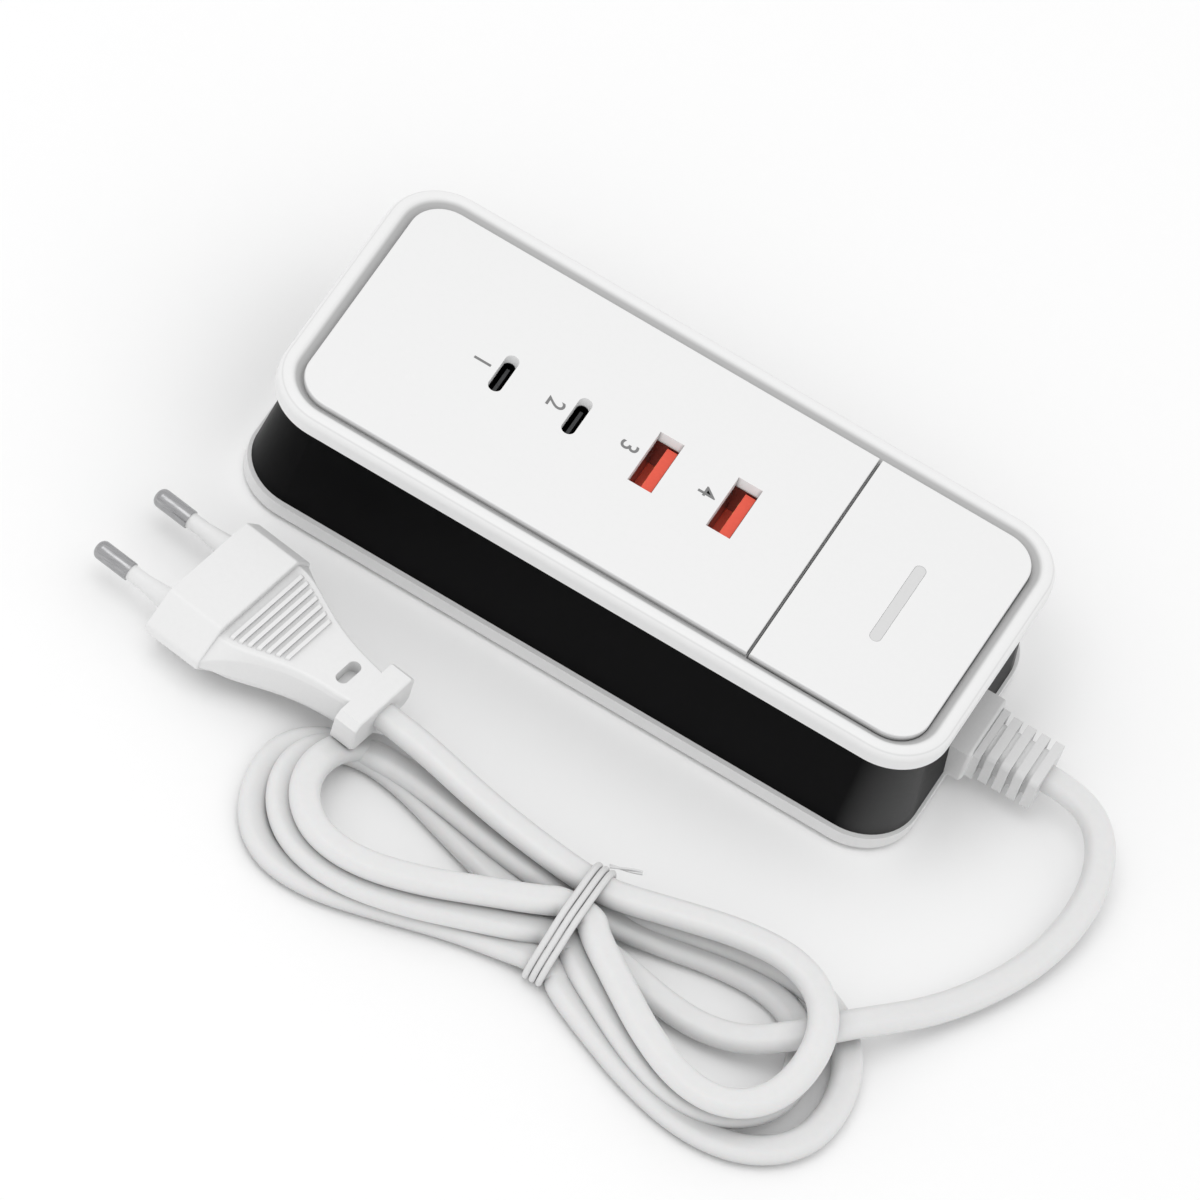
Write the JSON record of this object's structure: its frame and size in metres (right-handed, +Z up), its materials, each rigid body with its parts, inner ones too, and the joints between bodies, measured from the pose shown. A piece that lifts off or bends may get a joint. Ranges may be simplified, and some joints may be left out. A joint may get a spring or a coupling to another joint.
{
  "type": "desktop usb charger",
  "caption": "Low rounded desktop charger with USB ports in a recessed white top, a push plate with an indicator bar, a black flared case and a tied mains cord with plug.",
  "frame": {"origin": "on the table under the middle of the case", "axes": "+X along the case towards the push plate and the cord, +Y across it away from the hank, +Z up"},
  "size_m": [0.2012, 0.1568, 0.0323],
  "materials": {
    "white_shell": "fine satin moulding",
    "black_shell": "satin moulding",
    "grey_base": "matte moulding",
    "lens": "diffusing",
    "cord_sheath": "matte extruded sheath",
    "plug_shell": "fine matte moulding",
    "pin_metal": "bright plated",
    "tie_skin": "thin coated wire",
    "foot_rubber": "matte",
    "screw_steel": "plated",
    "board": "solder resist",
    "contact_metal": "plated",
    "ferrite": "ground ferrite",
    "tape": "taped coil",
    "can_sleeve": "shrink sleeve",
    "component_plastic": "moulded",
    "sink_metal": "mill finish",
    "lamp": "clear moulding",
    "wire_live": "extruded insulation",
    "wire_neutral": "extruded insulation",
    "port_steel": "drawn and plated",
    "port_black": "moulded",
    "port_orange": "moulded"
  },
  "bodies": {
    "housing": {"base_tray": "grey_base", "rubber_feet": "foot_rubber", "case_screws": "screw_steel", "mid_housing": "black_shell", "top_frame": "white_shell", "port_panel": "white_shell", "main_board": "board", "board_screws": "screw_steel", "port_board": "board", "port_board_screws": "screw_steel", "link_pins": "contact_metal", "transformer_core": "ferrite", "transformer_winding": "tape", "bulk_capacitor": "can_sleeve", "output_capacitors": "can_sleeve", "filter_capacitor": "component_plastic", "filter_choke": "ferrite", "bridge_rectifier": "component_plastic", "fuse": "component_plastic", "heat_sink": "sink_metal", "power_transistor": "component_plastic", "switch_body": "component_plastic", "indicator_led": "lamp", "led_holder": "component_plastic", "strain_relief": "grey_base", "live_wire": "wire_live", "neutral_wire": "wire_neutral", "cord_lead": "cord_sheath", "cord_hank": "cord_sheath", "cord_tail": "cord_sheath", "twist_tie": "tie_skin", "plug_body": "plug_shell", "usb_c_shell_1": "port_steel", "usb_c_tongue_1": "port_black", "usb_c_shell_2": "port_steel", "usb_c_tongue_2": "port_black", "usb_a_shell_1": "port_steel", "usb_a_tongue_1": "port_orange", "usb_a_contacts_1": "contact_metal", "usb_a_shell_2": "port_steel", "usb_a_tongue_2": "port_orange", "usb_a_contacts_2": "contact_metal", "plug_pin_1": "pin_metal", "pin_sleeve_1": "plug_shell", "plug_pin_2": "pin_metal", "pin_sleeve_2": "plug_shell"},
    "power_button": {"power_button": "white_shell", "indicator_lens": "lens", "switch_plunger": "component_plastic"}
  },
  "joints": [
    {"name": "power_button_press", "type": "slide", "parent": "housing", "child": "power_button", "axis": [0, 0, -1], "range_m": [0, 0.0014], "stiffness_N_per_m": 600, "springref_m": -0.002}
  ]
}
